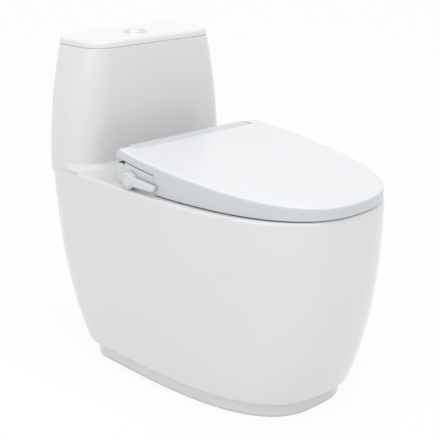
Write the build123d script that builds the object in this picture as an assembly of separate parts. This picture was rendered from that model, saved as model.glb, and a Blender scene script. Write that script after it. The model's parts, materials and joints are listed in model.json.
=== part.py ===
# One-piece toilet with a water-pressure washing seat.
# Units are millimetres. The origin is on the floor under the middle of the object, +Z is up, the front faces -Y.
# The user's right hand, where the lever is, is on the -X side.

from build123d import *
from math import atan2, copysign, cos, pi, radians, sin, sqrt, tan
import os

os.makedirs("parts", exist_ok=True)

# Overall sizes
rear_y = 334.0
front_y = -334.0
rim_z = 394.0
tank_top_z = 627.0
total_z = 640.0

# China walls
wall = 12.0
deck = 14.0
tank_floor_z = 384.0
floor_under_z = tank_floor_z - 16.0
plinth_top_z = 30.0
plinth_inset = 16.6

# Valve places in the tank and the half-inch threads
valve_y = 262.0
flush_hole_r = 33.0
fill_x = -105.0
fill_hole_r = 14.0
thread_half_inch_r = 10.5
upper_thread_r = 10.4

# Seat hinge and the sloping top of the seat lid
hinge_y = 92.0
hinge_z = 448.5
lid_rear_y = 103.0
lid_rear_z = 460.5
lid_tip_z = 416.9
lid_slope = (lid_rear_z - lid_tip_z) / (lid_rear_y - front_y)
seat_half = 185.0
seat_rear_half = 178.5
seat_wide_y = 29.0
seat_power = 2.59

# Seat clearances, measured down from the top of the lid
lid_skin = 3.0
ring_top_drop = 5.5
skirt_drop = 17.0
casing_drop = 19.3
ring_under_z = 400.0
lid_under_z = 396.5

# Rear casing of the seat
casing_front_y = 18.0
wing_front_y = -12.0
wing_inner_x = 150.0
block_front_y = 79.0
block_half = 149.0
casing_wall = 2.5
cover_flat_z = 433.5
block_corner_r = 4.0
wing_lean = 5.5
base_thick = 3.0
base_top_z = rim_z + base_thick

# Bolts of the seat
bolt_x = 75.0
bolt_y = 79.0
bolt_r = 3.0
deck_hole_r = 7.0

# Lever
lever_y = 48.0
lever_z = 411.0
lever_hub_r = 14.5
stem_r = 4.0
running = 0.04

# Washing nozzles
nozzle_r = 5.0
nozzle_x = 9.0
nozzle_length = 76.0
nozzle_tip_y = 2.0
nozzle_tip_z = 394.0
nozzle_tilt = 25.0

# Flush button
button_sleeve_r = 19.0
button_r = 16.4
button_travel = 6.0


def lid_top(y):
    """Height of the sloping top of the seat lid."""
    return lid_tip_z + (y - front_y) * lid_slope


def front_points(half, middle_y, front, power, count=17):
    """Points round the rounded front, from +X to -X."""
    points = []
    for i in range(count):
        angle = pi * i / (count - 1)
        c = cos(angle)
        s = sin(angle)
        x = half * copysign(abs(c) ** (2 / power), c)
        y = middle_y - (middle_y - front) * abs(s) ** (2 / power)
        points.append((x, y))
    return points


def d_face(z, half, front, rear, corner, middle_y, power):
    """Flat face with a rounded front, straight sides and round rear corners."""
    k = corner * (1 - sqrt(0.5))
    edges = [
        Line((-half + corner, rear), (half - corner, rear)),
        ThreePointArc((half - corner, rear), (half - k, rear - k), (half, rear - corner)),
        Line((half, rear - corner), (half, middle_y)),
        Spline(*front_points(half, middle_y, front, power), tangents=((0, -1), (0, 1))),
        Line((-half, middle_y), (-half, rear - corner)),
        ThreePointArc((-half, rear - corner), (-half + k, rear - k), (-half + corner, rear)),
    ]
    return Pos(0, 0, z) * make_face(edges)


def block(x0, x1, y0, y1, z0, z1):
    """Box between two corners."""
    return Pos((x0 + x1) / 2, (y0 + y1) / 2, (z0 + z1) / 2) * Box(abs(x1 - x0), abs(y1 - y0), abs(z1 - z0))


def post(x, y, z0, z1, r):
    """Upright round bar."""
    return Pos(x, y, (z0 + z1) / 2) * Cylinder(r, z1 - z0)


def across(x0, x1, y, z, r):
    """Round bar along X."""
    return Pos((x0 + x1) / 2, y, z) * Rot(0, 90, 0) * Cylinder(r, abs(x1 - x0))


def along(y0, y1, x, z, r):
    """Round bar along Y."""
    return Pos(x, (y0 + y1) / 2, z) * Rot(90, 0, 0) * Cylinder(r, y1 - y0)


def tube(path, outer, inner):
    """Hollow hose along a path."""
    start = Plane(origin=path @ 0, z_dir=path % 0)
    solid = sweep(start * Circle(outer), path=path)
    if inner:
        solid = solid - sweep(start * Circle(inner), path=path)
    return solid


def route(points, radii):
    """Straight runs joined by tangent arcs, one radius for each corner."""
    corners = [Vector(*p) for p in points]
    edges = []
    start = corners[0]
    for i, radius in enumerate(radii, 1):
        back = (corners[i - 1] - corners[i]).normalized()
        on = (corners[i + 1] - corners[i]).normalized()
        half_turn = radians(back.get_angle(on) / 2)
        reach = radius / tan(half_turn)
        first = corners[i] + back * reach
        last = corners[i] + on * reach
        to_centre = (back + on).normalized()
        middle = corners[i] + to_centre * (radius / sin(half_turn) - radius)
        edges.append(Line(start, first))
        edges.append(ThreePointArc(first, middle, last))
        start = last
    edges.append(Line(start, corners[-1]))
    return Wire(edges)


def save(shape, name):
    """Write one piece."""
    export_step(shape, "parts/" + name + ".step")


# Body sections: height, half width, front, rear, rear corner, where the front begins, power of the front curve
body_sections = [
    (plinth_top_z, 176.0, -268.0, 268.0, 88.0, 122.0, 2.9),
    (120.0, 180.5, -301.2, 312.4, 86.0, 95.0, 2.83),
    (240.0, 190.4, -324.6, 331.6, 83.0, 68.0, 2.73),
    (rim_z, 200.3, -330.5, rear_y - 0.2, 79.0, 33.0, 2.61),
]


def shrunk(section, amount, z=None):
    """The same section with its outline moved inward."""
    height, half, front, rear, corner, middle_y, power = section
    if z is None:
        z = height
    return d_face(z, half - amount, front + amount, rear - amount, corner - amount, middle_y, power)


def tank_face(z, half, front, corner, inset=0.0):
    """Rounded rectangle of the tank at one height."""
    depth = rear_y - front - 2 * inset
    outline = RectangleRounded(2 * (half - inset), depth, corner - inset)
    return Pos(0, (rear_y + front) / 2, z) * outline


deck_edge_r = 6.0
cove_r = 18.0
tank_front = 190.0
tank_foot_half = 200.3
tank_foot_corner = 71.4
tank_sections = [
    (rim_z - 9, tank_foot_half, tank_front, tank_foot_corner),
    (510.0, 184.7, 190.5, 58.0),
    (tank_top_z, 154.4, 189.5, 45.0),
]


def cove():
    """Rounded inside corner where the tank front meets the deck."""
    reach = tank_foot_corner + cove_r
    low = rim_z - 1
    high = rim_z + cove_r
    middle = cove_r * (1 - sqrt(0.5))
    edges = [
        Line((reach, low), (reach, rim_z)),
        ThreePointArc((reach, rim_z), (tank_foot_corner + middle, rim_z + middle), (tank_foot_corner - 1, high)),
        Line((tank_foot_corner - 1, high), (50, high)),
        Line((50, high), (50, low)),
        Line((50, low), (reach, low)),
    ]
    corner_x = tank_foot_half - tank_foot_corner
    corner_y = tank_front + tank_foot_corner
    profile = make_face(edges)
    straight = Plane(origin=(-corner_x, corner_y, 0), x_dir=(0, -1, 0), z_dir=(-1, 0, 0)) * profile
    solid = extrude(straight, 2 * corner_x, dir=(1, 0, 0))
    for side in (-1, 1):
        face = Plane(origin=(side * corner_x, corner_y, 0), x_dir=(0, -1, 0), z_dir=(-1, 0, 0)) * profile
        turn = Axis((side * corner_x, corner_y, 0), (0, 0, side))
        solid = solid + revolve(face, turn, 88)
    keep = extrude(shrunk(body_sections[3], 0.7, rim_z - 2), cove_r + 10)
    return solid & keep


def bowl_face(z, half, front, rear, grow=0.0):
    """Egg-shaped section of the bowl."""
    middle = (front + rear) / 2
    return Pos(0, middle, z) * Ellipse(half + grow, (rear - front) / 2 + grow)


bowl_sections = [
    (rim_z, 120.0, -276.0, 22.0),
    (340.0, 117.0, -272.0, 16.0),
    (280.0, 98.0, -240.0, 4.0),
    (220.0, 66.0, -184.0, -10.0),
    (168.0, 37.0, -124.0, -38.0),
]

outlet_y = 41.0
trap_r = 27.0
trap_wall = 9.0
horn_r = 37.0


def trap_path():
    """Middle line of the trapway: down from the bowl, over the weir and down to the floor."""
    dip = JernArc(start=(-88.1, 182), tangent=(cos(radians(30)), -sin(radians(30))), radius=60, arc_size=75)
    climb = Line(dip @ 1, (dip @ 1) + (dip % 1) * 45)
    weir = JernArc(start=climb @ 1, tangent=climb % 1, radius=48, arc_size=-155)
    fall = Line(weir @ 1, (weir @ 1) + (weir % 1) * 144.34)
    turn = JernArc(start=fall @ 1, tangent=fall % 1, radius=80, arc_size=20)
    drop = Line(turn @ 1, ((turn @ 1).X, -1))
    return Plane.YZ * Wire([dip, climb, weir, fall, turn, drop])


def china_body():
    """Skirted bowl and tank in one piece of glazed china."""
    skirt = loft([shrunk(s, 0) for s in body_sections])
    skirt = fillet(skirt.edges().group_by(Axis.Z)[0], 11)
    skirt = fillet(skirt.edges().group_by(Axis.Z)[-1], deck_edge_r)
    plinth = extrude(shrunk(body_sections[0], plinth_inset, 0), plinth_top_z + 2)
    tank = loft([tank_face(*s) for s in tank_sections]) + cove()
    outer = skirt + plinth + tank

    hollow = loft([
        shrunk(body_sections[0], plinth_inset + wall, -1),
        shrunk(body_sections[0], plinth_inset + wall, plinth_top_z),
        shrunk(body_sections[1], wall + 2),
        shrunk(body_sections[2], wall + 1),
        shrunk(body_sections[3], wall + 1, rim_z - deck),
    ], ruled=True)
    hollow = hollow - block(-220, 220, 150, 400, floor_under_z, rim_z)

    bowl_outer = loft([bowl_face(*s, grow=wall) for s in bowl_sections], ruled=True)
    bowl_outer = bowl_outer + Pos(0, -81, 162) * Cylinder(42, 16)
    bowl_inner = loft([bowl_face(*s) for s in bowl_sections])
    mouth = extrude(bowl_face(*bowl_sections[0]), 10)

    path = trap_path()
    start = Plane(origin=path @ 0, z_dir=path % 0)
    trap_outer = sweep(start * Circle(trap_r + trap_wall), path=path)
    trap_inner = sweep(start * Circle(trap_r), path=path)
    horn = post(0, outlet_y, 0, 30, horn_r)

    duct_outer = block(-46, 46, 0, valve_y + 46, 316, rim_z - 8)
    duct_inner = block(-35, 35, -20, valve_y + 35, 327, floor_under_z - 1)
    inside = (bowl_outer + trap_outer + duct_outer) & hollow
    inside = inside - block(-60, 60, outlet_y - 60, outlet_y + 60, -10, 0)
    body = outer - hollow + inside + horn

    tank_inner = loft([
        tank_face(tank_floor_z, tank_foot_half, tank_front, tank_foot_corner, wall),
        tank_face(510.0, 184.7, 190.5, 58.0, wall),
        tank_face(tank_top_z + 1, 154.4, 189.5, 45.0, wall),
    ])
    body = body - bowl_inner - mouth - trap_inner - duct_inner - tank_inner
    body = body - post(0, valve_y, floor_under_z - 3, tank_floor_z + 2, flush_hole_r)
    body = body - post(fill_x, valve_y, floor_under_z - 3, tank_floor_z + 2, fill_hole_r)
    for side in (-1, 1):
        body = body - post(side * bolt_x, bolt_y, rim_z - deck - 2, rim_z + 2, deck_hole_r)
    service = Pos(0, rear_y - 20, 175) * Rot(90, 0, 0) * RectangleRounded(220, 230, 30)
    body = body - extrude(service, 60, both=True)
    return body


# Lid of the tank
lid_hole_r = 19.6


def tank_lid():
    """China lid with a rounded top edge, a locating rib underneath and the hole of the button."""
    top = total_z
    plate = extrude(tank_face(tank_top_z, 153.6, 189.5, 45.0), top - tank_top_z)
    plate = fillet(plate.edges().group_by(Axis.Z)[-1], 5)
    plate = chamfer(plate.edges().group_by(Axis.Z)[0], 1.2)
    rib_z = tank_top_z - 8
    rib = extrude(tank_face(rib_z, 153.6, 189.5, 45.0, wall + 4), 8)
    rib = rib - extrude(tank_face(rib_z, 153.6, 189.5, 45.0, wall + 10), 8)
    return plate + rib - post(0, valve_y, tank_top_z - 1, top + 1, lid_hole_r)


# Flush button: a threaded sleeve with two halves that press on two rods
bezel_z = total_z
bezel_top = total_z + 3.0
sleeve_low = 607.0
sleeve_floor = 3.0
rod_r = 3.0
rod_low = 559.0
split_x = 3.0
split_gap = 0.4
full_rod_x = -7.5
half_rod_x = 10.5
spring_wire = 0.6
spring_r = 4.6


def button_bezel():
    """Chrome rim with its sleeve."""
    rim = post(0, valve_y, bezel_z, bezel_top, 24)
    rim = fillet(rim.edges().group_by(Axis.Z)[-1], 1.4)
    sleeve = post(0, valve_y, sleeve_low, bezel_z + 0.5, button_sleeve_r)
    bore = post(0, valve_y, sleeve_low + sleeve_floor, bezel_top + 1, button_r + 0.35)
    solid = rim + sleeve - bore
    for x in (full_rod_x, half_rod_x):
        solid = solid - post(x, valve_y, sleeve_low - 1, sleeve_low + sleeve_floor + 1, rod_r + 0.35)
    return solid


def button_half(side, rod_x):
    """One half of the button with its rod. Side is -1 for the full flush and 1 for the half flush."""
    head = post(0, valve_y, bezel_top - 9, bezel_top + 1.2, button_r)
    head = fillet(head.edges().group_by(Axis.Z)[-1], 0.8)
    if side < 0:
        keep = block(-30, split_x - split_gap, valve_y - 30, valve_y + 30, 600, 660)
    else:
        keep = block(split_x + split_gap, 30, valve_y - 30, valve_y + 30, 600, 660)
    return (head & keep) + post(rod_x, valve_y, rod_low, bezel_top - 8, rod_r)


def button_nut():
    """Round nut under the lid."""
    nut = post(0, valve_y, tank_top_z - 9, tank_top_z, 26)
    for i in range(8):
        angle = radians(45 * i)
        nut = nut - post(27.5 * cos(angle), valve_y + 27.5 * sin(angle), tank_top_z - 10, tank_top_z + 1, 4)
    return nut - post(0, valve_y, tank_top_z - 10, tank_top_z + 1, button_sleeve_r + running)


def button_spring(x):
    """Return spring round one rod, from the sleeve floor to the head of the button."""
    low = sleeve_low + sleeve_floor + spring_wire
    high = bezel_top - 9 - spring_wire
    coil = Helix(pitch=(high - low) / 4, height=high - low, radius=spring_r, center=(x, valve_y, low))
    start = Plane(origin=coil @ 0, z_dir=coil % 0)
    return sweep(start * RegularPolygon(spring_wire, 6), path=coil, is_frenet=True)


# Flush valve
seal_z = tank_floor_z + 3.0
base_top = seal_z + 5.0
canister_low = base_top + 3.0
canister_high = 462.0
canister_r = 30.0
canister_lift = 15.0
overflow_r = 12.0
cage_r = 39.0
cage_ring_z = 482.0
head_low = 530.0
head_high = 552.6


def flush_seal():
    """Rubber ring that seals the valve in the hole of the tank floor."""
    ring = post(0, valve_y, tank_floor_z, seal_z, 41) + post(0, valve_y, floor_under_z, seal_z, flush_hole_r)
    return ring - post(0, valve_y, floor_under_z - 1, seal_z + 1, 30)


def flush_base():
    """Valve base with its seat and the four posts of the cage."""
    base = post(0, valve_y, floor_under_z - 4, base_top, 30) + post(0, valve_y, seal_z, base_top, 40)
    base = base - post(0, valve_y, floor_under_z - 5, base_top + 1, 25)
    base = base + block(-26, 26, valve_y - 1.5, valve_y + 1.5, floor_under_z - 4, base_top - 2)
    base = base + block(-1.5, 1.5, valve_y - 26, valve_y + 26, floor_under_z - 4, base_top - 2)
    base = base + post(0, valve_y, floor_under_z - 4, base_top, overflow_r + 2)
    for i in range(4):
        angle = 45 + 90 * i
        bar = block(33.5, 38.5, -4, 4, base_top - 2, cage_ring_z)
        base = base + Pos(0, valve_y, 0) * Rot(0, 0, angle) * bar
    ring = post(0, valve_y, cage_ring_z, cage_ring_z + 4, cage_r) - post(0, valve_y, cage_ring_z, cage_ring_z + 4, 33)
    for i in range(4):
        angle = 45 + 90 * i
        spoke = block(14, 36, -3, 3, cage_ring_z, cage_ring_z + 4)
        ring = ring + Pos(0, valve_y, 0) * Rot(0, 0, angle) * spoke
    neck = post(0, valve_y, cage_ring_z, cage_ring_z + 8, 16)
    base = base + ring + neck
    return base - post(0, valve_y, base_top - 6, cage_ring_z + 12, overflow_r + running)


def overflow_tube():
    """Overflow tube through the middle of the valve, with side openings under the head."""
    pipe = post(0, valve_y, base_top - 6, head_low + 4, overflow_r)
    pipe = pipe - post(0, valve_y, base_top - 7, head_low + 5, overflow_r - 1.6)
    for turn in (0, 90):
        window = Pos(0, valve_y, head_low - 14) * Rot(0, 0, turn) * Box(40, 11, 16)
        pipe = pipe - window
    return pipe


def canister():
    """Float that lifts off the seat, a cup round the overflow tube."""
    inner = overflow_r + 0.4
    solid = post(0, valve_y, canister_low, canister_high, canister_r)
    solid = solid - post(0, valve_y, canister_low + 3, canister_high + 1, canister_r - 2.5)
    solid = solid + post(0, valve_y, canister_low, canister_high, inner + 2.5)
    for side in (-1, 1):
        solid = solid + block(side * 22 - 5, side * 22 + 5, valve_y - 2, valve_y + 2, canister_low + 2, canister_high)
    return solid - post(0, valve_y, canister_low - 1, canister_high + 1, inner)


def canister_seal():
    """Rubber ring under the canister."""
    ring = post(0, valve_y, base_top, canister_low, canister_r - 1)
    return ring - post(0, valve_y, base_top - 1, canister_low + 1, 15)


def valve_head():
    """Head of the flush valve with the two dimples that the button rods reach, and the nipple of the refill tube."""
    head = post(0, valve_y, head_low, head_high, 22)
    head = fillet(head.edges().group_by(Axis.Z)[-1], 2)
    head = head - post(0, valve_y, head_low - 1, head_low + 4, overflow_r + running)
    for x in (full_rod_x, half_rod_x):
        head = head - post(x, valve_y, head_high - 1.5, head_high + 1, rod_r + 1)
    return head + across(-30, -20, valve_y, refill_z, nipple_r)


# Fill valve
shank_low = 330.0
thread_top_z = 355.0
fill_body_r = 13.0
fill_head_low = 540.0
fill_head_high = 566.0
float_low = 402.0
float_high = 446.0
float_r = 30.0
float_travel = 50.0
refill_z = 543.6
nipple_r = 2.4
hose_wall = 1.4


def fill_valve():
    """Threaded shank, stem and head of the fill valve."""
    body = post(fill_x, valve_y, shank_low, thread_top_z, thread_half_inch_r)
    body = body + post(fill_x, valve_y, thread_top_z - 1, thread_top_z + 3, thread_half_inch_r - 0.9)
    body = body + post(fill_x, valve_y, thread_top_z + 2, tank_floor_z + 3, upper_thread_r)
    body = body + post(fill_x, valve_y, tank_floor_z + 3, tank_floor_z + 8, 18)
    body = body + post(fill_x, valve_y, tank_floor_z + 7, fill_head_low, fill_body_r)
    body = body - post(fill_x, valve_y, shank_low - 1, shank_low + 60, 6.5)
    body = body + post(fill_x, valve_y, fill_head_low, fill_head_high, 20)
    body = fillet(body.edges().group_by(Axis.Z)[-1], 3)
    body = body + block(fill_x - 8, fill_x + 8, valve_y - 30, valve_y - 15, fill_head_low + 6, fill_head_low + 16)
    body = body - post(fill_x, valve_y - 24, fill_head_low, fill_head_high, float_rod_r + 0.35)
    return body + across(fill_x + 18, fill_x + 29, valve_y, refill_z, nipple_r)


float_rod_r = 1.6


def float_cup():
    """Float cup round the stem, open below, with the rod that closes the valve."""
    cup = post(fill_x, valve_y, float_low, float_high, float_r)
    cup = cup - post(fill_x, valve_y, float_low - 1, float_high - 2.5, float_r - 2)
    cup = cup + post(fill_x, valve_y, float_low, float_high, fill_body_r + 2.6)
    cup = cup - post(fill_x, valve_y, float_low - 1, float_high + 1, fill_body_r + 0.5)
    return cup + post(fill_x, valve_y - 24, float_high - 1, fill_head_low + 18, float_rod_r)


def shank_gasket():
    """Rubber washer of the fill valve."""
    ring = post(fill_x, valve_y, tank_floor_z, tank_floor_z + 3, 17)
    return ring - post(fill_x, valve_y, tank_floor_z - 1, tank_floor_z + 4, thread_half_inch_r + running)


def shank_nut():
    """Hexagon nut under the tank floor."""
    nut = Pos(fill_x, valve_y, floor_under_z - 9) * extrude(RegularPolygon(18, 6), 9)
    return nut - post(fill_x, valve_y, floor_under_z - 10, floor_under_z + 1, thread_half_inch_r + running)


def refill_tube():
    """Soft tube from the fill valve to the head of the flush valve, in one arch."""
    lap = 5.0
    run = 6.0
    rise = 50.0
    end_r = 12.0
    start_x = fill_x + 29 - lap
    end_x = -30 + lap
    arch_r = (end_x - start_x - 2 * run) / (2 * sin(radians(rise))) - end_r
    first = Line((start_x, refill_z), (start_x + run, refill_z))
    up = JernArc(start=first @ 1, tangent=(1, 0), radius=end_r, arc_size=rise)
    over = JernArc(start=up @ 1, tangent=up % 1, radius=arch_r, arc_size=-2 * rise)
    down = JernArc(start=over @ 1, tangent=over % 1, radius=end_r, arc_size=rise)
    last = Line(down @ 1, (end_x, refill_z))
    plane = Plane(origin=(0, valve_y, 0), x_dir=(1, 0, 0), z_dir=(0, -1, 0))
    return tube(plane * Wire([first, up, over, down, last]), nipple_r + hose_wall, nipple_r + running)


# Outline of the seat, the lid and the casing, seen from above
def seat_face(inset, z=0.0, rear=None):
    """Outline with the rounded front, narrowing a little to the rear."""
    half = seat_half - inset
    rear_half = seat_rear_half - inset
    if rear is None:
        rear = lid_rear_y
    edges = [
        Line((-rear_half, rear), (rear_half, rear)),
        Line((rear_half, rear), (half, seat_wide_y)),
        Spline(*front_points(half, seat_wide_y, front_y + inset, seat_power), tangents=((0, -1), (0, 1))),
        Line((-half, seat_wide_y), (-rear_half, rear)),
    ]
    return Pos(0, 0, z) * make_face(edges)


def under_slope(drop):
    """Everything below a plane parallel to the top of the seat lid, that far under it."""
    y0 = -400.0
    y1 = 200.0
    profile = Plane.YZ * make_face(Polyline(
        (y0, 300), (y1, 300), (y1, lid_top(y1) - drop), (y0, lid_top(y0) - drop), close=True))
    return extrude(profile, 250, both=True)


def behind_wing_front(gap):
    """Everything behind the leaning front edge of the casing's sides, moved forward by a gap."""
    low = wing_front_y - gap - wing_lean
    high = wing_front_y - gap + wing_lean
    profile = Plane.YZ * make_face(Polyline(
        (low, rim_z - 16), (200, rim_z - 16), (200, rim_z + 56), (high, rim_z + 56), close=True))
    return extrude(profile, 250, both=True)


def seat_lid():
    """Shell of the seat lid: sloping top, skirt, hinge ends and the side cut-outs over the casing."""
    rear_cut = 140.0
    solid = extrude(seat_face(0, lid_under_z, lid_rear_y), 80) & under_slope(0)
    top_edges = solid.edges().filter_by(lambda e: e.center().Z > 412 and e.center().Y < 101)
    solid = fillet(top_edges, lid_edge_r)
    inner = extrude(seat_face(lid_skin + 0.2, lid_under_z - 5, lid_rear_y + 5), 90) & under_slope(lid_skin)
    knuckle = across(-seat_half, seat_half, hinge_y, hinge_z, lid_knuckle_r) - under_slope(skirt_drop)
    solid = solid - block(-200, 200, hinge_y, rear_cut, 390, 480) + (
        knuckle & extrude(seat_face(0.3, 400, 106), 80))
    side_cut = under_slope(skirt_drop) & block(-200, 200, -100, hinge_y + 0.5, 390, 480)
    side_cut = side_cut & behind_wing_front(1.5)
    pocket = across(-wing_pocket, wing_pocket, hinge_y, hinge_z, lid_knuckle_r - lid_skin + 0.3)
    solid = solid - (side_cut - knuckle) - (inner - block(-200, 200, hinge_y, rear_cut, 380, 480)) - pocket
    for side in (-1, 1):
        x0 = side * wing_inner_x
        x1 = side * (wing_inner_x + 3)
        cheek = block(x0, x1, block_front_y - 2, hinge_y, hinge_z - 6, 470) & under_slope(1)
        disc = across(x0, x1, hinge_y, hinge_z, lid_knuckle_r) - under_slope(skirt_drop)
        solid = solid + cheek + disc - across(x0 - side, x1 + side, hinge_y, hinge_z, pin_r + running)
        x2 = side * (wing_inner_x + 3)
        x3 = side * wing_pocket
        solid = solid - block(x2, x3, hinge_y - 14, rear_cut, 390, hinge_z - 1)
    notch = block(-wing_inner_x, wing_inner_x, block_front_y - 2, rear_cut, 380, 480)
    return solid - notch


lid_edge_r = 6.0
lid_knuckle_r = 11.0
wing_pocket = 175.5
pin_r = 4.4
ring_arm_r = 7.7
ring_wall = 3.0
ring_inset = 5.0
ring_opening = (108.0, -268.0, -6.0)
ring_rear_y = 56.0
ring_arm_inner = 154.0
ring_arm_outer = 173.5


def seat_ring():
    """Seat ring, thicker to the rear, hollow underneath, with two arms to the hinge."""
    half, front, rear = ring_opening
    solid = extrude(seat_face(ring_inset, ring_under_z, lid_rear_y - 2), 80) & under_slope(ring_top_drop)
    solid = solid - block(-148, 148, ring_rear_y, 140, 390, 480)
    outline = solid.edges().filter_by(lambda e: e.center().Z > 404 and e.center().Y < 40)
    outline = outline.filter_by(lambda e: e.bounding_box().min.Z > 404)
    solid = fillet(outline, 3.5)
    over_casing = under_slope(skirt_drop) & block(-200, 200, -100, 140, 390, 480) & behind_wing_front(1.5)
    over_centre = over_casing & block(-200, 200, casing_front_y - 1.5, 140, 390, 480)
    for side in (-1, 1):
        x0 = side * (wing_inner_x - 1.5)
        wing = over_casing & block(x0, side * 200, -50, 140, 390, 480)
        solid = solid - wing
    solid = solid - over_centre

    low = extrude(bowl_face(ring_under_z - 5, half, front, rear), 90)
    inner = extrude(seat_face(ring_inset + ring_wall, ring_under_z - 5, wing_front_y - 7.5), 90)
    inner = inner & under_slope(ring_top_drop + ring_wall)
    inner = inner - extrude(bowl_face(ring_under_z - 6, half, front, rear, ring_wall), 92)
    solid = solid - low - inner
    bevel = Plane.YZ * make_face(Polyline(
        (rear - 0.5, ring_under_z), (casing_front_y + 2, ring_under_z + 12.2),
        (casing_front_y + 2, ring_under_z - 5), (rear - 0.5, ring_under_z - 5), close=True))
    solid = solid - extrude(bevel, 146, both=True)
    for x, y in ring_pads:
        boss = block(x - 12, x + 12, y - 7, y + 7, ring_under_z, 460) & under_slope(ring_top_drop + 1)
        solid = solid + boss
    for side in (-1, 1):
        x0 = side * ring_arm_inner
        x1 = side * ring_arm_outer
        solid = solid - block(x1, side * 200, 72, 140, 390, 480)
        solid = solid - block(side * 140, x0, 72, 140, 390, 480)
        solid = solid - block(x0 - side, x1 + side, hinge_y - 4, 140, 390, 480)
        arm = across(x0, x1, hinge_y, hinge_z, ring_arm_r)
        web = block(x0, x1, 72, hinge_y, 400, 480) & under_slope(ring_top_drop)
        web = web - under_slope(skirt_drop)
        solid = solid + arm + web - across(x0 - side, x1 + side, hinge_y, hinge_z, pin_r + running)
    return solid


ring_pads = [(-128.0, -216.0), (128.0, -216.0), (-150.0, -50.0), (150.0, -50.0)]
lid_pads = [(-120.0, -222.0), (120.0, -222.0)]


def ring_bumpers():
    """Rubber pads that the ring stands on."""
    pads = []
    for x, y in ring_pads:
        pad = block(x - 10, x + 10, y - 5, y + 5, rim_z, ring_under_z)
        pads.append(fillet(pad.edges().filter_by(Axis.Z), 4))
    return Compound(children=[Part(p.wrapped) for p in pads])


def lid_bumpers():
    """Rubber pads under the lid that rest on the ring."""
    pads = []
    for x, y in lid_pads:
        pad = post(x, y, 390, 470, 8) & under_slope(lid_skin)
        pads.append(pad - under_slope(ring_top_drop))
    return Compound(children=[Part(p.wrapped) for p in pads])


# Rear casing
def casing_outline(inset, low):
    """Body of the casing under the seat, without its middle block."""
    solid = extrude(seat_face(inset, low, lid_rear_y - inset), 80)
    solid = solid & block(-250, 250, -100, 140, 380, 450) & behind_wing_front(-inset)
    inner_x = wing_inner_x + inset
    return solid - block(-inner_x, inner_x, -100, casing_front_y + inset, 380, 490)


def casing_cover():
    """Thin shell over the working parts, open on top under the hinge block."""
    outer = casing_outline(0, rim_z) & under_slope(casing_drop)
    corner = outer.edges().filter_by(lambda e: e.bounding_box().size.Z > 20)
    corner = corner.filter_by(
        lambda e: e.center().Y > 100 or (e.center().Y < 0 and abs(e.center().X) > 170))
    outer = fillet(corner, 5)
    inner = casing_outline(casing_wall, rim_z - 1) & under_slope(casing_drop + casing_wall)
    solid = outer - inner
    for side in (-1, 1):
        x0 = side * (block_half + 0.3)
        x1 = side * 200
        solid = solid - block(x0, x1, 74, 120, cover_flat_z, 480)
    solid = solid - block(-200, 200, block_front_y + casing_wall, 120, cover_flat_z, 480)
    solid = solid - across(-190, -178, lever_y, lever_z, stem_r + 2)
    solid = solid - block(-25, 25, casing_front_y - 1, casing_front_y + casing_wall + 1, rim_z - 1, 416)
    return solid - along(96, 110, inlet_x, inlet_z, thread_half_inch_r + running)


def hinge_block():
    """Raised moulding between the hinges that holds the two dampers, seated on the cover."""
    front = block(-200, 200, 0, block_front_y + casing_wall, 390, 480)
    bottom = (under_slope(casing_drop) & front) + block(-200, 200, 0, 140, 390, cover_flat_z)
    solid = block(-block_half, block_half, block_front_y, lid_rear_y, 420, 480) & under_slope(1.0)
    solid = fillet(solid.edges().filter_by(Axis.Z), block_corner_r)
    room = block(-block_half + 2, block_half - 2, block_front_y + casing_wall,
                 lid_rear_y - casing_wall, 410, 480) & under_slope(1.0 + 2.0)
    solid = solid - room
    for side in (-1, 1):
        x0 = side * (block_half - damper_length)
        x1 = side * block_half
        cradle = block(x0, x1, hinge_y - damper_r - 2, hinge_y + damper_r + 2, 420, hinge_z + damper_r)
        solid = solid + ((cradle & under_slope(1.5)) - under_slope(casing_drop))
        solid = solid - across(x0, side * 160, hinge_y, hinge_z, damper_r + running)
    return solid - bottom


damper_r = 6.0
damper_length = 42.0
inlet_x = -112.0
inlet_z = 411.2
plate_half = 98.0
plate_front = 66.0
plate_rear = 92.0


def casing_base():
    """Base plate of the casing, open round the mounting plate, with the saddles of the valve and the nozzles."""
    plate = extrude(casing_outline(casing_wall + 0.8, rim_z).faces().sort_by(Axis.Z)[0], -base_thick)
    if plate.bounding_box().min.Z < rim_z - 1:
        plate = Pos(0, 0, base_thick) * plate
    gap = 0.3
    plate = plate - block(-plate_half - gap, plate_half + gap, plate_front - gap, plate_rear + gap, 390, 400)
    plate = plate + (block(-174, -150, lever_y - 12, lever_y + 12, rim_z, lever_z) - across(
        -190, -130, lever_y, lever_z, valve_r))
    saddle = block(-18, 18, 46, 58, rim_z, 430) - nozzle_box(0)
    saddle = saddle.solids().sort_by(Axis.Z)[0]
    return plate + saddle


def mounting_plate():
    """Steel plate that the bolts hold on the china."""
    plate = block(-plate_half, plate_half, plate_front, plate_rear, rim_z, base_top_z)
    plate = fillet(plate.edges().filter_by(Axis.Z), 4)
    for side in (-1, 1):
        plate = plate - post(side * bolt_x, bolt_y, rim_z - 1, base_top_z + 1, bolt_r + 0.1)
    return plate


def seat_bolt(side):
    """Bolt with a round head."""
    x = side * bolt_x
    head = post(x, bolt_y, base_top_z, base_top_z + 4, 7)
    head = fillet(head.edges().group_by(Axis.Z)[-1], 1.5)
    return head + post(x, bolt_y, 348, base_top_z + 1, bolt_r)


def seat_washer(side):
    """Rubber cone washer in the hole of the deck."""
    x = side * bolt_x
    under = rim_z - deck
    cone = post(x, bolt_y, under - 4, under, 13) + post(x, bolt_y, under - 1, rim_z - 3, deck_hole_r)
    return cone - post(x, bolt_y, under - 5, rim_z, bolt_r + running)


def seat_nut(side):
    """Nut of the bolt under the china deck."""
    x = side * bolt_x
    under = rim_z - deck - 4
    nut = Pos(x, bolt_y, under - 10) * extrude(RegularPolygon(11, 6), 10)
    return nut - post(x, bolt_y, under - 11, under + 1, bolt_r + running)


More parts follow.
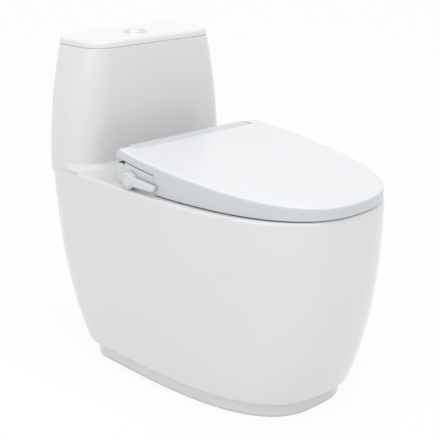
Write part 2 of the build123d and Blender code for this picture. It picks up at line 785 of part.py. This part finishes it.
def hinge_damper(side):
    """Soft-close cylinder in the end of the casing block."""
    x0 = side * (block_half - damper_length)
    x1 = side * (block_half + 0.5)
    body = across(x0, x1, hinge_y, hinge_z, damper_r)
    hole_x = side * (block_half - 16)
    return body - across(hole_x, side * 160, hinge_y, hinge_z, pin_r + running)


def hinge_pin(side):
    """Hinge pin through the lid and the ring, that turns in the damper."""
    x0 = side * (block_half - 16)
    x1 = side * (ring_arm_outer - 0.5)
    return across(x0, x1, hinge_y, hinge_z, pin_r)


# Control valve and lever
valve_r = 12.0
valve_inner_x = -142.0
valve_outer_x = -179.5
lever_face_x = -185.3


def control_valve():
    """Brass valve behind the lever, with three hose spigots on its inner end."""
    body = across(valve_outer_x, valve_inner_x, lever_y, lever_z, valve_r)
    body = chamfer(body.edges().group_by(Axis.X)[-1], 1.5)
    body = body - across(-200, valve_inner_x - 12, lever_y, lever_z, stem_r + running)
    for y, z in valve_ports:
        body = body + across(valve_inner_x - 1, valve_inner_x + spigot, y, z, hose_bore)
    return body


hose_bore = 2.2
spigot = 4.0
inlet_rear = lid_rear_y - casing_wall - 4
hose_outer = 3.6
valve_ports = [(lever_y + 5, lever_z - 5.5), (lever_y - 6, lever_z), (lever_y + 4, lever_z + 6)]
lever_out = 13.8
lever_tip_y = -17.0


def valve_stem():
    """Brass stem that the lever turns."""
    return across(lever_face_x - lever_out + 6, valve_inner_x - 14, lever_y, lever_z, stem_r)


def lever():
    """Moulded lever: round hub and a tapering arm that points to the front."""
    x_out = lever_face_x - lever_out
    hub = across(x_out, lever_face_x, lever_y, lever_z, lever_hub_r)
    hub = fillet(hub.edges().group_by(Axis.X)[0], 2.5)
    tip_r = 5.5
    root_r = 9.0
    angle = atan2(root_r - tip_r, lever_y - lever_tip_y)
    s = sin(angle)
    c = cos(angle)
    arm_z = lever_z - 1.0
    root = (lever_y, lever_z)
    arm = make_face([
        Line((root[0] - root_r * s, root[1] + root_r * c), (lever_tip_y - tip_r * s, arm_z + tip_r * c)),
        ThreePointArc((lever_tip_y - tip_r * s, arm_z + tip_r * c), (lever_tip_y - tip_r, arm_z),
                      (lever_tip_y - tip_r * s, arm_z - tip_r * c)),
        Line((lever_tip_y - tip_r * s, arm_z - tip_r * c), (root[0] - root_r * s, root[1] - root_r * c)),
        Line((root[0] - root_r * s, root[1] - root_r * c), (root[0] - root_r * s, root[1] + root_r * c)),
    ])
    bar = extrude(Plane.YZ * arm, 8.5, dir=(-1, 0, 0))
    bar = Pos(lever_face_x - 3.0, 0, 0) * bar
    bar = fillet(bar.edges().group_by(Axis.X)[0], 2.0)
    solid = hub + bar
    solid = solid - across(x_out - 1, x_out + 1.6, lever_y, lever_z, lever_hub_r - 3.6)
    return solid - across(x_out + 5.9, lever_face_x + 1, lever_y, lever_z, stem_r)


def lever_cap():
    """Round cap set into the end of the hub."""
    x_out = lever_face_x - lever_out
    cap = across(x_out - 0.4, x_out + 1.6, lever_y, lever_z, lever_hub_r - 4.2)
    return fillet(cap.edges().group_by(Axis.X)[0], 0.8)


# Washing nozzles
def along_nozzle(shape):
    """Places a shape drawn along +X on the nozzle axis: X runs from the tip up and to the rear."""
    place = Plane(
        origin=(0, nozzle_tip_y, nozzle_tip_z),
        x_dir=(0, cos(radians(nozzle_tilt)), sin(radians(nozzle_tilt))),
        z_dir=(0, -sin(radians(nozzle_tilt)), cos(radians(nozzle_tilt))),
    )
    return place.from_local_coords(shape)


def nozzle_bar(x0, x1, side, r):
    """Round bar along the nozzle axis. The second direction of that frame runs to -X."""
    return Pos((x0 + x1) / 2, -side, 0) * Rot(0, 90, 0) * Cylinder(r, x1 - x0)


housing_half = 18.0
housing_high = 8.0
housing_length = 82.0
nozzle_travel = 62.0


def nozzle_box(gap):
    """Outer block of the nozzle housing."""
    box = Pos(housing_length / 2, 0, 0) * Box(
        housing_length + 2 * gap, 2 * housing_half + 2 * gap, 2 * housing_high + 2 * gap)
    return along_nozzle(box)


def nozzle_housing():
    """Block with the two bores of the nozzles, clear of the china deck, with a spigot behind each bore."""
    solid = nozzle_box(0) - block(-60, 60, 10, 80, 380, rim_z + 3.4)
    for side in (-1, 1):
        solid = solid - along_nozzle(nozzle_bar(-2, nozzle_length + 4, side * nozzle_x, nozzle_r + running))
        solid = solid + along_nozzle(nozzle_bar(housing_length - 1, housing_length + spigot, side * nozzle_x, hose_bore))
    return solid


def nozzle(side):
    """Stainless washing nozzle with a round tip and its spray holes."""
    body = nozzle_bar(0.4, nozzle_length, side * nozzle_x, nozzle_r)
    body = fillet(body.edges().group_by(Axis.X)[0], 2.2)
    for x in (5.0, 8.0) if side > 0 else (5.0, 7.5, 10.0):
        body = body - Pos(x, -side * nozzle_x, 4) * Cylinder(0.7, 8)
    groove = nozzle_bar(nozzle_length - 8, nozzle_length - 5, side * nozzle_x, nozzle_r + 1)
    groove = groove - nozzle_bar(nozzle_length - 9, nozzle_length - 4, side * nozzle_x, nozzle_r - 0.8)
    return along_nozzle(body - groove)


def nozzle_hose(side):
    """Hose from a spigot of the valve to the spigot behind a nozzle. The rear one passes behind the front one."""
    c = cos(radians(nozzle_tilt))
    s = sin(radians(nozzle_tilt))
    reach = housing_length + 0.3
    x = side * nozzle_x
    end = (x, nozzle_tip_y + reach * c, nozzle_tip_z + reach * s)
    corner_y = 87.0 if side < 0 else 96.0
    corner_z = nozzle_tip_z + (corner_y - nozzle_tip_y) * s / c
    y, z = valve_ports[1] if side < 0 else valve_ports[2]
    if side < 0:
        points = [(-100.0, y, z), (-70.0, 60.0, 415.0), (-45.0, corner_y, corner_z)]
        radii = [30.0, 25.0, 18.0, 6.0]
    else:
        points = [(-110.0, y, z), (-84.0, 68.0, 421.0), (-55.0, corner_y, corner_z)]
        radii = [30.0, 30.0, 20.0, 10.0]
    path = route([(valve_inner_x + 0.3, y, z), *points, (x, corner_y, corner_z), end], radii)
    return tube(path, hose_outer, hose_bore + running)


def inlet_connector():
    """Threaded brass inlet at the rear of the casing."""
    inside = lid_rear_y - casing_wall
    pipe = along(inside - 3, lid_rear_y, inlet_x, inlet_z, upper_thread_r)
    pipe = pipe + along(lid_rear_y - 1, lid_rear_y + 2, inlet_x, inlet_z, thread_half_inch_r - 0.9)
    pipe = pipe + along(lid_rear_y + 2, lid_rear_y + 15, inlet_x, inlet_z, thread_half_inch_r)
    collar = along(inside - 4, inside, inlet_x, inlet_z, 13.5)
    pipe = pipe + collar - along(lid_rear_y - 1, lid_rear_y + 20, inlet_x, inlet_z, 6.5)
    return pipe + along(inlet_rear - spigot, inlet_rear + 1, inlet_x, inlet_z, hose_bore)


def inlet_hose():
    """Hose from the inlet to the valve."""
    y, z = valve_ports[0]
    points = [
        (valve_inner_x + 0.3, y, z),
        (inlet_x, y, z),
        (inlet_x, 80.0, inlet_z),
        (inlet_x, inlet_rear - 0.3, inlet_z),
    ]
    return tube(route(points, [12.0, 30.0]), hose_outer, hose_bore + running)


# Floor
def outlet_seal():
    """Rubber ring round the horn of the outlet."""
    ring = post(0, outlet_y, 0, 9.5, 52)
    ring = fillet(ring.edges().group_by(Axis.Z)[-1], 3)
    return ring - post(0, outlet_y, -1, 11, horn_r + 0.1)


def write_all():
    """Builds and writes every piece."""
    save(china_body(), "china_body")
    save(tank_lid(), "tank_lid")
    save(button_bezel(), "button_bezel")
    save(button_half(-1, full_rod_x), "full_flush_button")
    save(button_half(1, half_rod_x), "half_flush_button")
    save(button_nut(), "button_nut")
    save(button_spring(full_rod_x), "full_button_spring")
    save(button_spring(half_rod_x), "half_button_spring")
    save(flush_seal(), "flush_valve_seal")
    save(flush_base(), "flush_valve_base")
    save(overflow_tube(), "overflow_tube")
    save(canister(), "canister")
    save(canister_seal(), "canister_seal")
    save(valve_head(), "flush_valve_head")
    save(fill_valve(), "fill_valve")
    save(float_cup(), "float_cup")
    save(shank_gasket(), "shank_gasket")
    save(shank_nut(), "shank_nut")
    save(refill_tube(), "refill_tube")
    save(seat_lid(), "seat_lid")
    save(lid_bumpers(), "lid_bumpers")
    save(seat_ring(), "seat_ring")
    save(ring_bumpers(), "ring_bumpers")
    save(casing_cover(), "casing_cover")
    save(hinge_block(), "hinge_block")
    save(casing_base(), "casing_base")
    save(mounting_plate(), "mounting_plate")
    for side, word in ((-1, "right"), (1, "left")):
        save(seat_bolt(side), "seat_bolt_" + word)
        save(seat_washer(side), "seat_washer_" + word)
        save(seat_nut(side), "seat_nut_" + word)
        save(hinge_damper(side), "hinge_damper_" + word)
        save(hinge_pin(side), "hinge_pin_" + word)
    save(control_valve(), "control_valve")
    save(valve_stem(), "valve_stem")
    save(lever(), "lever")
    save(lever_cap(), "lever_cap")
    save(nozzle_housing(), "nozzle_housing")
    save(nozzle(1), "rear_wash_nozzle")
    save(nozzle(-1), "front_wash_nozzle")
    save(nozzle_hose(1), "rear_nozzle_hose")
    save(nozzle_hose(-1), "front_nozzle_hose")
    save(inlet_connector(), "inlet_connector")
    save(inlet_hose(), "inlet_hose")
    save(outlet_seal(), "outlet_seal")


write_all()
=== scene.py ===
import json
import math

import bmesh
import bpy
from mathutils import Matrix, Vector


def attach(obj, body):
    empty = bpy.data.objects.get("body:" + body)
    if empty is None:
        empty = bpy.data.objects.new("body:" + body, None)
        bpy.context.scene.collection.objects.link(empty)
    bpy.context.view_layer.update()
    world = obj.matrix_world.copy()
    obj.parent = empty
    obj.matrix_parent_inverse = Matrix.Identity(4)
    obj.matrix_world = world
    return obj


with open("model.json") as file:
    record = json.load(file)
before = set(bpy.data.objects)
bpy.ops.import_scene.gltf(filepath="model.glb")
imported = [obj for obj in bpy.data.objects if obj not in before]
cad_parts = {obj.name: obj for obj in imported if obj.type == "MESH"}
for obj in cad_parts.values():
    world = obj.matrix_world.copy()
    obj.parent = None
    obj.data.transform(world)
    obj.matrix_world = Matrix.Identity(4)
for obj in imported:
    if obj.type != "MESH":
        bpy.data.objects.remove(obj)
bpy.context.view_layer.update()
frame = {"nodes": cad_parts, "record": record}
nodes = frame["nodes"]
scene = bpy.context.scene
print("frame loaded:", len(nodes), "nodes")


# place and lens come from lining up the outlines with the photo
camera = {"place": (-1.33728, -1.40849, 0.94784), "turn": -43.27, "tilt": 18.35, "lens": 86.42}

camData = bpy.data.cameras.new("photoCamera")
camData.lens = camera["lens"]
camData.sensor_width = 36.0
camData.clip_end = 50.0
cam = bpy.data.objects.new("photoCamera", camData)
scene.collection.objects.link(cam)
cam.location = camera["place"]
cam.rotation_euler = (math.radians(90.0 - camera["tilt"]), 0.0, math.radians(camera["turn"]))
scene.camera = cam
scene.view_settings.view_transform = "Standard"
print("camera set")


# one output socket, so that shader maths reads like ordinary maths
class Sock:
    def __init__(self, tree, value):
        self.tree = tree
        self.value = value

    def maths(self, operation, *others):
        node = self.tree.nodes.new("ShaderNodeMath")
        node.operation = operation
        for slot, item in zip(node.inputs, (self,) + others):
            put(self.tree, slot, item)
        return Sock(self.tree, node.outputs[0])

    def __add__(self, other): return self.maths("ADD", other)
    def __radd__(self, other): return self.maths("ADD", other)
    def __sub__(self, other): return self.maths("SUBTRACT", other)
    def __rsub__(self, other): return Sock(self.tree, other).maths("SUBTRACT", self)
    def __mul__(self, other): return self.maths("MULTIPLY", other)
    def __rmul__(self, other): return self.maths("MULTIPLY", other)
    def __truediv__(self, other): return self.maths("DIVIDE", other)

    # held between 0 and 1
    def capped(self):
        node = self.tree.nodes.new("ShaderNodeClamp")
        put(self.tree, node.inputs[0], self)
        return Sock(self.tree, node.outputs[0])

    def orAlso(self, other): return self.maths("MAXIMUM", other)


# links a socket, or sets a plain value on it
def put(tree, slot, item):
    value = item.value if isinstance(item, Sock) else item
    if isinstance(value, bpy.types.NodeSocket):
        tree.links.new(value, slot)
    else:
        slot.default_value = value


# a new material with its main shader and a few shortcuts
class Shade:
    def __init__(self, name):
        self.material = bpy.data.materials.new(name)
        self.material.use_nodes = True
        self.tree = self.material.node_tree
        self.tree.nodes.clear()
        self.output = self.tree.nodes.new("ShaderNodeOutputMaterial")
        self.shader = self.tree.nodes.new("ShaderNodeBsdfPrincipled")
        self.tree.links.new(self.shader.outputs[0], self.output.inputs[0])
        self.place = self.node("ShaderNodeTexCoord", {}, {}, "Object")

    def node(self, kind, settings, values, output=0):
        made = self.tree.nodes.new(kind)
        for key, value in settings.items():
            setattr(made, key, value)
        for key, value in values.items():
            put(self.tree, made.inputs[key], value)
        return Sock(self.tree, made.outputs[output])

    def noise(self, scale, detail=3.0, rough=0.5):
        return self.node("ShaderNodeTexNoise", {}, {"Vector": self.place, "Scale": scale, "Detail": detail, "Roughness": rough}, "Fac")

    def stretched(self, scale, detail=3.0, rough=0.5):
        drawn = self.node("ShaderNodeMapping", {}, {"Vector": self.place, "Scale": scale})
        return self.node("ShaderNodeTexNoise", {}, {"Vector": drawn, "Scale": 1.0, "Detail": detail, "Roughness": rough}, "Fac")

    def mix(self, amount, a, b):
        return self.node("ShaderNodeMix", {"data_type": "RGBA"}, {0: amount, 6: a, 7: b}, 2)

    # normal with the corners rounded off over this radius
    def rounded(self, radius):
        return self.node("ShaderNodeBevel", {"samples": 6}, {"Radius": radius}, 0)

    # 0 on flat places, 1 right at a corner
    def corner(self, soft, gain=6.0):
        flat = self.node("ShaderNodeNewGeometry", {}, {}, "Normal")
        along = self.node("ShaderNodeVectorMath", {"operation": "DOT_PRODUCT"}, {0: soft, 1: flat}, "Value")
        return ((1.0 - along) * gain).capped()

    # 0 where the face looks up or down in its own frame, 1 on upright walls
    def sideways(self):
        parts = self.node("ShaderNodeSeparateXYZ", {}, {0: self.node("ShaderNodeTexCoord", {}, {}, "Normal")}, "Z")
        return ((0.55 - parts * parts) * 4.0).capped()

    def bump(self, height, strength, distance, normal):
        return self.node("ShaderNodeBump", {}, {"Height": height, "Strength": strength, "Distance": distance, "Normal": normal}, "Normal")

    def set(self, **values):
        for key, value in values.items():
            put(self.tree, self.shader.inputs[key.replace("_", " ")], value)
        return self.material


def rgb(r, g, b):
    return (r, g, b, 1.0)


# glazed china: how the glaze pools and waves, with a painted highlight on its corners
glaze = {"color": rgb(0.690, 0.688, 0.690), "shade": rgb(0.672, 0.670, 0.674), "edge": rgb(0.715, 0.71, 0.70),
         "speck": rgb(0.63, 0.62, 0.60), "rough": 0.13, "wave": 0.035, "round": 0.007}
# tank lid: the china glaze painted lighter, as painted light on the up-facing lid; its corners round over a smaller
# radius
lidGlazeLit = dict(glaze, color=rgb(0.740, 0.738, 0.740), shade=rgb(0.722, 0.720, 0.724), round=0.002)


def makeGlaze(name, look):
    m = Shade(name)
    soft = m.rounded(look["round"])
    cloud = m.noise(3.2, 2.0)
    fleck = m.noise(240.0, 2.0, 0.6)
    tone = m.mix(((cloud - 0.35) * 2.2).capped(), look["shade"], look["color"])
    tone = m.mix(((fleck - 0.71) * 4.0).capped() * 0.2, tone, look["speck"])  # faint specks of the fired clay
    # painted highlight: corners and creases a little lighter and warmer
    tone = m.mix(m.corner(soft) * 0.5, tone, look["edge"])
    wave = m.noise(26.0, 2.0) + m.noise(90.0, 2.0) * 0.25  # orange peel of the glaze
    rough = cloud * 0.05 + fleck * 0.03 + look["rough"]
    return m.set(Base_Color=tone, Roughness=rough, Coat_Weight=0.5, Coat_Roughness=0.08, IOR=1.5,
                 Normal=m.bump(wave, look["wave"], 0.004, soft))


# moulded plastic: flow marks, fine grain, corners a little rougher from wear and painted lighter as a highlight
seatPlastic = {"color": rgb(0.720, 0.735, 0.755), "low": rgb(0.705, 0.720, 0.742), "cornerHighlight": rgb(0.74, 0.75, 0.765), "rough": 0.24, "grain": 0.03,
               "skirt": rgb(0.560, 0.585, 0.615)}
casingPlastic = {"color": rgb(0.600, 0.630, 0.650), "low": rgb(0.575, 0.605, 0.625), "cornerHighlight": rgb(0.65, 0.67, 0.69), "rough": 0.30, "grain": 0.03}
leverPlastic = {"color": rgb(0.640, 0.665, 0.690), "low": rgb(0.590, 0.615, 0.640), "cornerHighlight": rgb(0.72, 0.74, 0.76), "rough": 0.18, "grain": 0.02}
innerPlastic = {"color": rgb(0.620, 0.650, 0.680), "low": rgb(0.520, 0.550, 0.580), "cornerHighlight": rgb(0.68, 0.70, 0.72), "rough": 0.42, "grain": 0.10}
valvePlastic = {"color": rgb(0.740, 0.750, 0.760), "low": rgb(0.660, 0.670, 0.680), "cornerHighlight": rgb(0.80, 0.81, 0.82), "rough": 0.40, "grain": 0.09}
hosePlastic = {"color": rgb(0.690, 0.720, 0.750), "low": rgb(0.600, 0.630, 0.670), "cornerHighlight": rgb(0.74, 0.76, 0.78), "rough": 0.34, "grain": 0.05}


def makePlastic(name, look):
    m = Shade(name)
    soft = m.rounded(0.0012)
    flow = m.stretched((8.4, 2.2, 8.4), 2.0)
    grain = m.noise(900.0, 2.0, 0.7)
    cornerWearAndHighlight = m.corner(soft)
    tone = m.mix(((flow - 0.3) * 2.0).capped(), look["low"], look["color"])
    if "skirt" in look:
        tone = m.mix(m.sideways(), tone, look["skirt"])  # painted shade: upright faces darker and bluer than faces that look up or down
    # painted highlight: corners and creases lighter
    tone = m.mix(cornerWearAndHighlight * 0.4, tone, look["cornerHighlight"])
    scuff = ((m.noise(38.0, 4.0, 0.65) - 0.62) * 5.0).capped()
    rough = grain * 0.04 + scuff * 0.06 + cornerWearAndHighlight * 0.05 + look["rough"]
    return m.set(Base_Color=tone, Roughness=rough, IOR=1.48, Coat_Weight=0.2, Coat_Roughness=0.15,
                 Normal=m.bump(grain + flow * 0.4, look["grain"], 0.0015, soft))


# bright plating, brushed steel and brass
chromeLook = {"color": rgb(0.83, 0.84, 0.85), "dull": rgb(0.70, 0.71, 0.72), "rough": 0.12, "streak": (40.0, 40.0, 900.0)}
steelLook = {"color": rgb(0.60, 0.61, 0.62), "dull": rgb(0.44, 0.45, 0.46), "rough": 0.30, "streak": (30.0, 700.0, 30.0)}
brassLook = {"color": rgb(0.72, 0.55, 0.27), "dull": rgb(0.50, 0.36, 0.17), "rough": 0.27, "streak": (60.0, 500.0, 500.0)}


def makeMetal(name, look):
    m = Shade(name)
    soft = m.rounded(0.0006)
    streak = m.stretched(look["streak"], 4.0, 0.6)
    dull = ((m.noise(55.0, 4.0, 0.6) - 0.45) * 3.0).capped()
    tone = m.mix((dull * 0.45 + m.corner(soft) * 0.1).capped(), look["color"], look["dull"])
    rough = streak * 0.10 + dull * 0.08 + look["rough"]
    return m.set(Base_Color=tone, Metallic=1.0, Roughness=rough, Normal=m.bump(streak, 0.06, 0.0006, soft))


# rubber pads and seals with a little dust
darkRubber = {"color": rgb(0.045, 0.045, 0.047), "dust": rgb(0.13, 0.13, 0.13), "rough": 0.72}
paleRubber = {"color": rgb(0.72, 0.725, 0.73), "dust": rgb(0.62, 0.62, 0.615), "rough": 0.60}


def makeRubber(name, look):
    m = Shade(name)
    soft = m.rounded(0.0008)
    dust = ((m.noise(70.0, 4.0, 0.65) - 0.42) * 2.6).capped()
    pore = m.noise(1400.0, 2.0, 0.7)
    tone = m.mix((dust * 0.5 + m.corner(soft) * 0.3).capped(), look["color"], look["dust"])
    rough = dust * 0.12 + pore * 0.06 + look["rough"]
    return m.set(Base_Color=tone, Roughness=rough, Normal=m.bump(pore, 0.15, 0.0008, soft))


finishes = {
    "china_glaze": makeGlaze("chinaGlaze", glaze),
    "tank_lid_glaze": makeGlaze("tankLidGlazeLit", lidGlazeLit),
    "seat_plastic": makePlastic("seatPlastic", seatPlastic),
    "casing_plastic": makePlastic("casingPlastic", casingPlastic),
    "lever_plastic": makePlastic("leverPlastic", leverPlastic),
    "inner_plastic": makePlastic("innerPlastic", innerPlastic),
    "valve_plastic": makePlastic("valvePlastic", valvePlastic),
    "hose": makePlastic("hosePlastic", hosePlastic),
    "chrome_trim": makeMetal("chromeTrim", chromeLook),
    "steel": makeMetal("brushedSteel", steelLook),
    "brass": makeMetal("brass", brassLook),
    "dark_rubber": makeRubber("darkRubber", darkRubber),
    "white_rubber": makeRubber("paleRubber", paleRubber),
}
print("materials made:", len(finishes))


slotOf = {part["node"]: part["material_slot"] for part in frame["record"]["subparts"]}
for name, obj in nodes.items():
    material = finishes[slotOf[name]]
    if not obj.material_slots:
        obj.data.materials.append(material)
    for holder in obj.material_slots:
        holder.material = material
    obj.data.set_sharp_from_angle(angle=math.radians(32))  # round faces shade smooth, real edges stay crisp
print("finishes put on the CAD nodes")


# screw threads, which the CAD leaves as plain round bars: half-inch pipe thread, 14 turns to the inch
tankThread = {"start": (-0.105, 0.262, 0.3315), "along": (0.0, 0.0, 1.0), "radius": 0.0105, "length": 0.0220, "pitch": 0.001814, "high": 0.00045}
seatThread = {"start": (-0.112, 0.1065, 0.4112), "along": (0.0, 1.0, 0.0), "radius": 0.0105, "length": 0.0100, "pitch": 0.001814, "high": 0.00045}
boltThreads = {"start": (0.075, 0.079, 0.3495), "along": (0.0, 0.0, 1.0), "radius": 0.0030, "length": 0.0150, "pitch": 0.001000, "high": 0.00025}


# a ridge that winds round a bar, thinning to nothing at both ends
def makeThread(name, look, material):
    mesh = bpy.data.meshes.new(name)
    shape = bmesh.new()
    axis = Vector(look["along"])
    side = axis.orthogonal().normalized()
    other = axis.cross(side)
    perTurn = 32
    count = int(look["length"] / look["pitch"] * perTurn)
    rings = []
    for i in range(count + 1):
        turn = 2.0 * math.pi * i / perTurn
        out = side * math.cos(turn) + other * math.sin(turn)
        middle = Vector(look["start"]) + axis * (look["pitch"] * i / perTurn)
        fade = min(1.0, i / 12.0, (count - i) / 12.0)
        high = look["high"] * fade
        wide = look["pitch"] * 0.42
        base = middle + out * (look["radius"] - 0.00005)
        crest = middle + out * (look["radius"] + high)
        rings.append([shape.verts.new(base - axis * wide), shape.verts.new(crest - axis * wide * 0.15),
                      shape.verts.new(crest + axis * wide * 0.15), shape.verts.new(base + axis * wide)])
    for a, b in zip(rings, rings[1:]):
        for k in range(4):
            shape.faces.new((a[k], a[(k + 1) % 4], b[(k + 1) % 4], b[k]))
    shape.faces.new(rings[0][::-1])
    shape.faces.new(rings[-1])
    bmesh.ops.recalc_face_normals(shape, faces=shape.faces)
    shape.to_mesh(mesh)
    shape.free()
    mesh.materials.append(finishes[material])
    piece = bpy.data.objects.new(name, mesh)
    scene.collection.objects.link(piece)
    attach(piece, "china")
    return piece


makeThread("tankInletThread", tankThread, "valve_plastic")
makeThread("seatInletThread", seatThread, "brass")
for word, x in (("Left", 0.075), ("Right", -0.075)):
    makeThread("seatBoltThread" + word, dict(boltThreads, start=(x, 0.079, 0.3495)), "steel")
print("threads made")


room = {"floor": 6.0, "world": 0.86, "paper": 0.88}


# pale floor: its own shading shows through a little, so the shadow of the object stays
def makeFloor(size):
    mesh = bpy.data.meshes.new("floor")
    shape = bmesh.new()
    bmesh.ops.create_grid(shape, x_segments=2, y_segments=2, size=size)
    shape.to_mesh(mesh)
    shape.free()
    floor = bpy.data.objects.new("floor", mesh)
    scene.collection.objects.link(floor)
    floor.location.z = -0.0005
    m = Shade("floorPaper")
    grain = m.noise(3.0, 3.0)
    mesh.materials.append(m.set(Base_Color=m.mix(grain, rgb(0.90, 0.90, 0.90), rgb(0.92, 0.92, 0.92)), Roughness=0.9))
    white = m.tree.nodes.new("ShaderNodeEmission")
    white.inputs[0].default_value = rgb(1.0, 1.0, 1.0)
    white.inputs[1].default_value = 1.0
    seen = m.node("ShaderNodeLightPath", {}, {}, "Is Camera Ray")
    glossy = m.node("ShaderNodeLightPath", {}, {}, "Is Glossy Ray")
    through = m.node("ShaderNodeLightPath", {}, {}, "Is Transmission Ray")
    both = m.tree.nodes.new("ShaderNodeMixShader")
    put(m.tree, both.inputs[0], seen.orAlso(glossy).orAlso(through) * room["paper"])
    m.tree.links.new(m.shader.outputs[0], both.inputs[1])
    m.tree.links.new(white.outputs[0], both.inputs[2])
    m.tree.links.new(both.outputs[0], m.output.inputs[0])
    return floor


makeFloor(room["floor"])

world = bpy.data.worlds.new("softRoom")
scene.world = world
world.use_nodes = True
tree = world.node_tree
tree.nodes.clear()
out = tree.nodes.new("ShaderNodeOutputWorld")
blendNode = tree.nodes.new("ShaderNodeMixShader")
lamp = tree.nodes.new("ShaderNodeBackground")
paper = tree.nodes.new("ShaderNodeBackground")
path = tree.nodes.new("ShaderNodeLightPath")
lamp.inputs[0].default_value = rgb(1.0, 1.0, 1.0)
lamp.inputs[1].default_value = room["world"]
paper.inputs[0].default_value = rgb(1.0, 1.0, 1.0)
paper.inputs[1].default_value = 1.0
seen = Sock(tree, path.outputs["Is Camera Ray"])
seen = seen.orAlso(Sock(tree, path.outputs["Is Glossy Ray"])).orAlso(Sock(tree, path.outputs["Is Transmission Ray"]))
put(tree, blendNode.inputs[0], seen)
tree.links.new(lamp.outputs[0], blendNode.inputs[1])
tree.links.new(paper.outputs[0], blendNode.inputs[2])
tree.links.new(blendNode.outputs[0], out.inputs[0])

# each lamp: place, aimed at, size, watts
lamps = {
    "leftSoftbox": {"place": (-2.3, -0.8, 1.9), "aim": (0.0, 0.0, 0.35), "size": 1.8, "watts": 12.0},
    "frontSoftbox": {"place": (-0.3, -1.9, 2.4), "aim": (0.0, 0.1, 0.5), "size": 1.6, "watts": 9.0},
    "topSoftbox": {"place": (-0.2, -0.2, 2.7), "aim": (0.0, 0.0, 0.4), "size": 1.8, "watts": 12.0},
}
for name, look in lamps.items():
    data = bpy.data.lights.new(name, "AREA")
    data.shape = "SQUARE"
    data.size = look["size"]
    data.energy = look["watts"]
    light = bpy.data.objects.new(name, data)
    scene.collection.objects.link(light)
    light.location = look["place"]
    light.rotation_euler = (Vector(look["aim"]) - Vector(look["place"])).to_track_quat("-Z", "Y").to_euler()
print("stage and lamps set")
